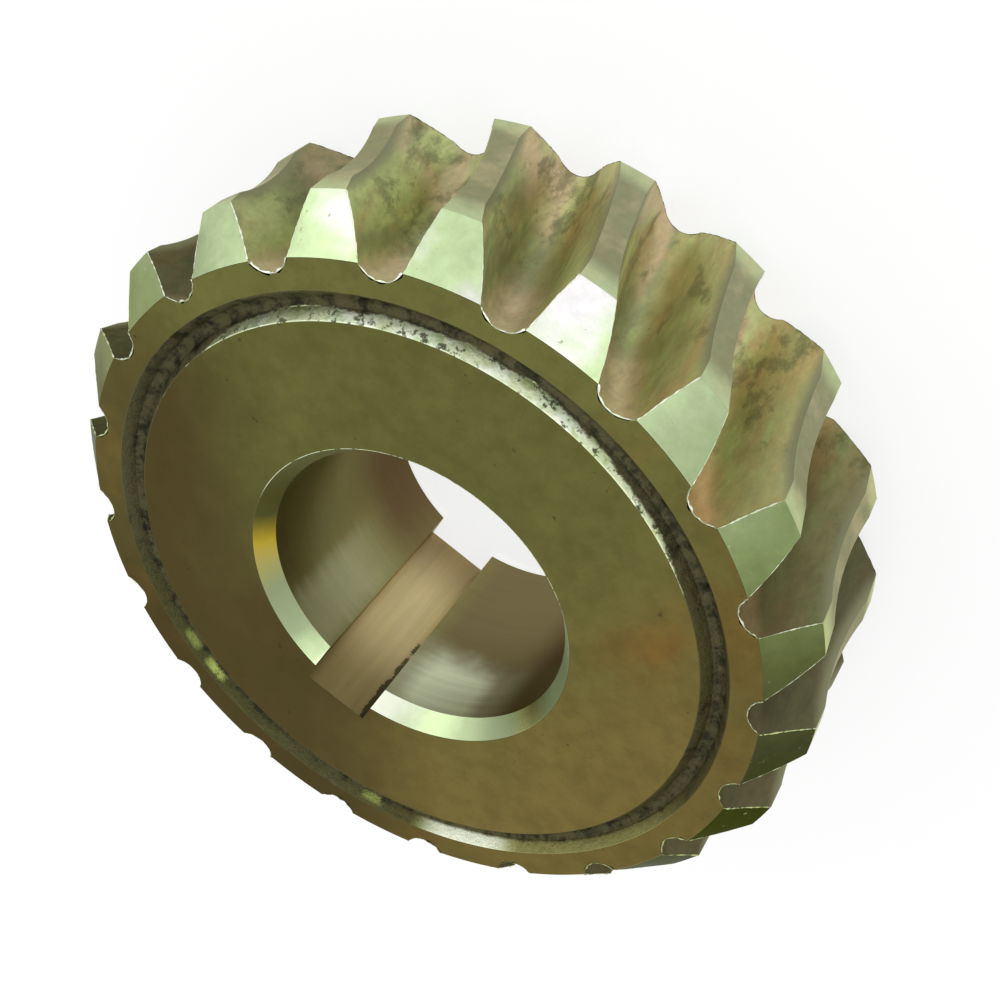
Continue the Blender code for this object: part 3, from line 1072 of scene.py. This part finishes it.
def tooth_flank(finish, sizes):
    """Tooth flank and gap: satin olive and grey bands, painted reflections, shade and highlights."""
    bench = Bench("tooth_flank", 0.5, metallic=0.6)
    height = bench.height()
    root = sizes.worm_diameter / 2 + sizes.module + sizes.root_clearance
    depth = gap_depth(bench, sizes)
    bands = bench.cloud(2.2 * MM, detail=3, stretch=(1, 1, 0.2), seed=6.0)
    patches = bench.cloud(4.0 * MM, detail=4, stretch=(1, 1, 0.6), seed=12.0)
    across_gap = bench.scaled(bands, 1.2, gap_side(bench, sizes))
    tint = bench.mix(bench.between(bands, 0.40, 0.58), finish.flank_grey, finish.flank_olive)
    redder = bench.towards(RUSTY_SIDE, 0.40, 0.80)
    rusty = bench.times(redder, bench.between(patches, 0.44, 0.62))
    brown = bench.mix(bench.times(rusty, 0.55), finish.flank_brown, finish.flank_rust)
    # Painted shade: brown, partly rusty, on the side of each gap that faces away from the light
    tint = bench.mix(bench.between(across_gap, 0.4, -0.2), tint, brown)
    streaks = bench.cloud(1.7 * MM, detail=4, stretch=(1, 1, 0.22), seed=71.0, roughness=0.6)
    rust = bench.times(bench.between(streaks, 0.50, 0.66), 0.55)
    tint = bench.mix(rust, tint, finish.flank_rust)
    greener = bench.times(bench.between(streaks, 0.48, 0.36), 0.6)
    tint = bench.mix(greener, tint, finish.flank_green)
    # Painted reflection: tan patches at the rear of one side of each gap
    at_rear = bench.between(bench.scaled(bands, 9 * MM, height), 2 * MM, -4 * MM)
    rear_left = bench.times(at_rear, bench.between(across_gap, 0.1, 0.8))
    painted_sheen = bench.times(rear_left, bench.between(patches, 0.38, 0.56))
    tint = bench.mix(painted_sheen, tint, finish.flank_tan)
    # Painted reflection: copper and orange low down at the front of the gaps
    low = bench.scaled(bands, 3 * MM, depth)
    low = bench.between(low, root - 1.2 * MM, root + 0.8 * MM)
    front = bench.between(bench.scaled(patches, 8 * MM, height), 5 * MM, 11 * MM)
    painted_reflection = bench.mix(redder, finish.flank_copper, finish.flank_rust)
    tint = bench.mix(bench.times(bench.times(low, front), 0.75), tint, painted_reflection)
    stains = bench.cloud(2.0 * MM, detail=6, stretch=(1, 1, 0.5), seed=17.0, roughness=0.7)
    stained = bench.between(stains, 0.50, 0.62)
    stained = bench.times(stained, bench.scaled(front, -0.7, 1.0))
    middle = bench.between(bench.maths("ABSOLUTE", height), 9 * MM, 3 * MM)
    cloudy = bench.times(middle, bench.between(patches, 0.44, 0.60))
    stained = bench.maths("MAXIMUM", stained, bench.times(cloudy, 0.6))
    tint = bench.mix(bench.times(stained, 0.58), tint, finish.flank_dark)
    # Painted shade on the flanks on the sides away from the light
    dull = bench.maths("MAXIMUM", bench.towards(SHADED_SIDE, -0.14, 0.42),
                       bench.towards(SHADED_LEFT_SIDE, 0.25, 0.80))
    tint = bench.mix(bench.times(dull, 0.9), tint, finish.flank_dull)
    bench.grazing(dull, finish.flank_grazing)
    bench.feed(bench.shader.inputs["Metallic"], bench.scaled(dull, 0.4, 0.6))
    fine = bench.cloud(0.5 * MM, detail=5, stretch=(1, 1, 0.4), seed=8.0, roughness=0.7)
    tint = bench.shade(tint, bench.scaled(fine, 0.9, 0.60))
    crest = centre_distance(sizes) - outside_radius(sizes) + sizes.throat_depth
    tint = bench.mix(bench.between(depth, crest + 1.6 * MM, crest), tint, finish.tip_grey)
    edge = bench.edge(0.16 * MM)
    # Painted highlight on the edges at the front on the side of the light
    at_front = bench.between(height, -4 * MM, 4 * MM)
    bright = bench.times(bench.towards(LIT_SIDE, -0.2, 0.7), at_front)
    tint = bench.mix(bench.times(edge, bright), tint, finish.tip_pale)
    # Painted shade: the edges darker at the back
    rear = bench.times(bench.between(height, -11 * MM, -14 * MM), 0.7)
    tint = bench.mix(bench.times(edge, rear), tint, finish.flank_dark)
    bench.wear(bench.scaled(dull, 1.4, stains), 0.42, 0.6)
    bench.relief(fine, 0.03 * MM)
    return bench.done(tint)


def bore_wall(finish, sizes):
    """Bore wall: dull olive, reddish on one side, with painted highlights by the mouth and keyway."""
    bench = Bench("bore_wall", 0.38)
    height = bench.height()
    brushed = bench.cloud(1.0 * MM, detail=4, stretch=(0.15, 0.15, 2.5), seed=5.0)
    clouds = bench.cloud(6 * MM, detail=4, seed=15.0)
    drift = bench.scaled(clouds, 10 * MM, -5 * MM)
    tint = bench.mix(bench.between(clouds, 0.35, 0.65), finish.bore_dull, finish.bore_olive)
    right = bench.towards(TAN_WALL, 0.1, 0.4)
    tint = bench.mix(right, tint, finish.bore_tan)
    far_right = bench.towards(PINK_WALL, 0.62, 0.92)
    far_right = bench.times(far_right, bench.between(height, 9 * MM, 3 * MM))
    tint = bench.mix(far_right, tint, finish.bore_pink)
    top_left = bench.between(bench.maths("SUBTRACT", drift, height), 0.0, 10 * MM)
    left = bench.towards(LEFT_WALL, 0.2, 0.8)
    tint = bench.mix(bench.times(bench.times(top_left, left), 0.9), tint, finish.bore_pink)
    shade = bench.towards(LEFT_WALL, 0.75, 0.98)
    tint = bench.mix(bench.times(shade, 0.42), tint, finish.brown)
    # Painted highlights near the mouth, along a streak, and in a thin line beside the keyway
    mouth = bench.between(bench.maths("ADD", height, drift), 2 * MM, 8 * MM)
    mouth = bench.times(mouth, bench.towards(HIGHLIT_BORE_WALL, 0.78, 0.97))
    beside = bench.between(bench.scaled(brushed, 0.02, bench.side(KEYWAY_SIDE)), 0.972, 1.006)
    beside = bench.times(beside, bench.between(height, -6 * MM, 5 * MM))
    streak = bench.between(bench.scaled(brushed, 0.02, bench.side(HIGHLIT_BORE_STREAK)), 0.955, 1.01)
    mouth = bench.times(mouth, bench.scaled(streak, 0.75, 0.44))
    painted_sheen = bench.maths("MAXIMUM", mouth, bench.times(beside, 0.22))
    tint = bench.mix(painted_sheen, tint, finish.bore_bright)
    tint = bench.shade(tint, bench.scaled(brushed, 0.36, 0.82))
    bench.wear(brushed, 0.34, 0.48)
    bench.relief(brushed, 0.006 * MM)
    return bench.done(tint)


def bore_edge(finish, sizes):
    """Bore's chamfer: a painted highlight below, yellow and painted shade on the other sides."""
    bench = Bench("bore_edge", 0.3)
    clouds = bench.cloud(3 * MM, detail=4, seed=18.0)
    # Painted light round the chamfer, from shade through gold and olive to a highlight
    lit = bench.scaled(clouds, 0.2, bench.side(LIT_CHAMFER))
    tint = bench.ramp(bench.maths("SUBTRACT", lit, 0.1), (
        (0.0, finish.olive), (0.24, finish.bore_gold), (0.55, finish.bore_lip),
        (0.79, finish.end_pale), (0.915, finish.end_clear), (0.985, finish.burr)))
    bench.grazing(bench.between(lit, 0.7, 0.2), finish.end_grazing)
    clean = bench.between(lit, -0.5, 0.0)
    bench.feed(bench.shader.inputs["Metallic"], clean)
    right = bench.towards(OLIVE_CHAMFER, 0.72, 0.93)
    tint = bench.mix(right, tint, finish.bore_lip)
    keyway_corner = (sizes.bore_diameter / 2 + 0.6 * MM, sizes.keyway_width / 2,
                     half_width() - 1 * MM)
    glint = bench.between(bench.distance(keyway_corner), 1.6 * MM, 0.6 * MM)
    tint = bench.mix(glint, tint, finish.burr)
    bench.wear(bench.scaled(clouds, 0.3, bench.between(lit, 0.5, 0.1)), 0.2, 0.6)
    bench.relief(bench.cloud(0.5 * MM, stretch=(0.3, 0.3, 2.0), seed=2.0), 0.01 * MM)
    return bench.done(tint)


def keyway(finish, sizes):
    """Keyway: tan, brushed along its length, darker at its mouth, with dark jagged marks by one wall.
    """
    bench = Bench("keyway", 0.38)
    brushed = bench.cloud(0.7 * MM, detail=4, stretch=(1, 1, 0.06), seed=3.0)
    clouds = bench.cloud(4 * MM, detail=3, stretch=(1, 1, 0.5), seed=19.0)
    tint = bench.mix(bench.between(clouds, 0.35, 0.7), finish.key_tan, finish.flank_tan)
    height = bench.height()
    mouth = bench.scaled(clouds, 8 * MM, bench.maths("SUBTRACT", height, 4 * MM))
    tint = bench.mix(bench.between(mouth, 1 * MM, 11 * MM), tint, finish.key_brown)
    tint = bench.mix(bench.between(height, -4 * MM, -14 * MM), tint, finish.key_rear)
    tint = bench.shade(tint, bench.scaled(brushed, 0.7, 0.65))
    split = bench.add("ShaderNodeSeparateXYZ")
    bench.feed(split.inputs[0], bench.place)
    # Dark jagged marks along the keyway's right wall
    dark_marks = bench.cloud(1.3 * MM, detail=4, seed=23.0, roughness=0.7)
    edge = bench.between(split.outputs["Y"], sizes.keyway_width / 2 - 1.3 * MM,
                         sizes.keyway_width / 2 - 0.2 * MM)
    near = bench.between(height, -9 * MM, 7 * MM)
    near = bench.times(bench.times(edge, near), 0.27)
    dark_marks = bench.between(bench.maths("ADD", near, dark_marks), 0.66, 0.72)
    tint = bench.mix(bench.times(dark_marks, 0.8), tint, finish.grime)
    bench.wear(brushed, 0.3, 0.5)
    bench.relief(brushed, 0.02 * MM)
    return bench.done(tint)


def burr_metal(finish):
    """Burrs: torn metal with painted light on one side, and painted shade on the other and behind."""
    bench = Bench("burr_metal", 0.3)
    torn = bench.cloud(1.4 * MM, detail=4, seed=31.0, roughness=0.7)
    # Painted light: burrs brighter on the side of the light
    lit = bench.scaled(bench.side(LIT_SIDE), 0.22, torn)
    tint = bench.ramp(lit, ((0.25, finish.flank_dark), (0.42, finish.flank_olive),
                            (0.54, finish.tip_pale), (0.68, finish.burr)))
    # Painted shade on the burrs at the back
    rear = bench.between(bench.height(), 2 * MM, -2 * MM)
    tint = bench.mix(rear, tint, finish.flank_dark)
    bench.wear(torn, 0.2, 0.45)
    return bench.done(tint)


def make_materials(finish, sizes):
    """All the wheel's surfaces by name."""
    makers = {"turned_face": turned_face, "groove": groove, "tooth_end": tooth_end,
              "tooth_tip": tooth_tip, "tooth_flank": tooth_flank, "bore_wall": bore_wall,
              "bore_edge": bore_edge, "keyway": keyway}
    return {name: makers[name](finish, sizes) for name in SURFACES}


# Stage

def make_camera(stage):
    """Camera at the photograph's place and angle."""
    data = bpy.data.cameras.new("camera")
    data.lens = stage.lens
    data.sensor_width = SENSOR_WIDTH
    data.shift_x, data.shift_y = stage.shift
    data.clip_start = CLIP_START
    data.clip_end = CLIP_END
    camera = bpy.data.objects.new("camera", data)
    camera.location = stage.camera_place
    camera.rotation_euler = stage.camera_turn
    bpy.context.scene.collection.objects.link(camera)
    bpy.context.scene.camera = camera


def soft_light(name, place, size, power):
    """A square soft light that looks at the wheel."""
    data = bpy.data.lights.new(name, "AREA")
    data.shape = "SQUARE"
    data.size = size
    data.energy = power
    lamp = bpy.data.objects.new(name, data)
    lamp.location = place
    lamp.rotation_euler = (-Vector(place)).to_track_quat("-Z", "Y").to_euler()
    bpy.context.scene.collection.objects.link(lamp)


def white_share(tree, low, high):
    """High for the camera, mirrors and glass, and low for all other light."""
    path = tree.nodes.new("ShaderNodeLightPath")
    seen = tree.nodes.new("ShaderNodeMath")
    seen.operation = "MAXIMUM"
    tree.links.new(path.outputs["Is Camera Ray"], seen.inputs[0])
    tree.links.new(path.outputs["Is Glossy Ray"], seen.inputs[1])
    through = tree.nodes.new("ShaderNodeMath")
    through.operation = "MAXIMUM"
    tree.links.new(seen.outputs[0], through.inputs[0])
    tree.links.new(path.outputs["Is Transmission Ray"], through.inputs[1])
    strength = tree.nodes.new("ShaderNodeMath")
    strength.operation = "MULTIPLY_ADD"
    tree.links.new(through.outputs[0], strength.inputs[0])
    strength.inputs[1].default_value = high - low
    strength.inputs[2].default_value = low
    return strength.outputs[0]


def make_floor(stage):
    """White floor that keeps the wheel's shadow."""
    work = bmesh.new()
    bmesh.ops.create_circle(work, cap_ends=True, radius=FLOOR_RADIUS, segments=FLOOR_SEGMENTS)
    bmesh.ops.translate(work, verts=work.verts, vec=(0, 0, WHEEL_LOW.z - FLOOR_GAP))
    floor = new_object("floor", work)
    material = bpy.data.materials.new("floor_white")
    material.use_nodes = True
    shader = material.node_tree.nodes["Principled BSDF"]
    white = FLOOR_WHITE * (1 - stage.floor_glow)
    shader.inputs["Base Color"].default_value = (white, white, white, 1.0)
    shader.inputs["Roughness"].default_value = 0.9
    shader.inputs["Specular IOR Level"].default_value = 0.0
    shader.inputs["Emission Color"].default_value = (1.0, 1.0, 1.0, 1.0)
    glow = white_share(material.node_tree, 0.0, stage.floor_glow + EXTRA_GLOW)
    material.node_tree.links.new(glow, shader.inputs["Emission Strength"])
    floor.data.materials.append(material)


def make_room(stage):
    """Even white light from all round."""
    world = bpy.data.worlds.new("room")
    world.use_nodes = True
    background = world.node_tree.nodes["Background"]
    background.inputs["Color"].default_value = (1.0, 1.0, 1.0, 1.0)
    strength = white_share(world.node_tree, stage.room_light, 1.0)
    world.node_tree.links.new(strength, background.inputs["Strength"])
    bpy.context.scene.world = world


class WORMWHEEL_OT_stage(bpy.types.Operator):
    """Set the camera, the lights and the white floor"""

    bl_idname = "wormwheel.stage"
    bl_label = "Set the Stage"

    def execute(self, context):
        stage = context.scene.wheel_stage
        make_camera(stage)
        make_floor(stage)
        make_room(stage)
        soft_light("key_light", KEY_PLACE, KEY_SIZE, stage.key_power)
        soft_light("overhead_light", OVERHEAD_PLACE, OVERHEAD_SIZE, stage.fill_power)
        context.scene.view_settings.view_transform = "Standard"
        return {"FINISHED"}


class WORMWHEEL_PT_panel(bpy.types.Panel):
    """Worm wheel tools in the sidebar"""

    bl_idname = "WORMWHEEL_PT_panel"
    bl_label = "Worm Wheel"
    bl_space_type = "VIEW_3D"
    bl_region_type = "UI"
    bl_category = "Worm Wheel"

    def draw(self, context):
        scene = context.scene
        for group in (scene.wheel_sizes, scene.wheel_finish, scene.wheel_stage):
            box = self.layout.box()
            for name in group.__annotations__:
                box.prop(group, name)
        for operator in OPERATORS:
            self.layout.operator(operator.bl_idname)


OPERATORS = (WORMWHEEL_OT_wheel, WORMWHEEL_OT_burrs, WORMWHEEL_OT_stage)
CLASSES = (WheelSizes, WheelFinish, StageSettings, *OPERATORS, WORMWHEEL_PT_panel)


def register():
    """Register the classes and put their settings on the scene."""
    for item in CLASSES:
        bpy.utils.register_class(item)
    bpy.types.Scene.wheel_sizes = bpy.props.PointerProperty(type=WheelSizes)
    bpy.types.Scene.wheel_finish = bpy.props.PointerProperty(type=WheelFinish)
    bpy.types.Scene.wheel_stage = bpy.props.PointerProperty(type=StageSettings)


def unregister():
    """Take the settings and the classes away again."""
    del bpy.types.Scene.wheel_stage
    del bpy.types.Scene.wheel_finish
    del bpy.types.Scene.wheel_sizes
    for item in reversed(CLASSES):
        bpy.utils.unregister_class(item)


def main():
    """Build the finished wheel and its stage."""
    register()
    bpy.ops.wormwheel.wheel()
    bpy.ops.wormwheel.burrs()
    bpy.ops.wormwheel.stage()


if __name__ == "__main__":
    main()
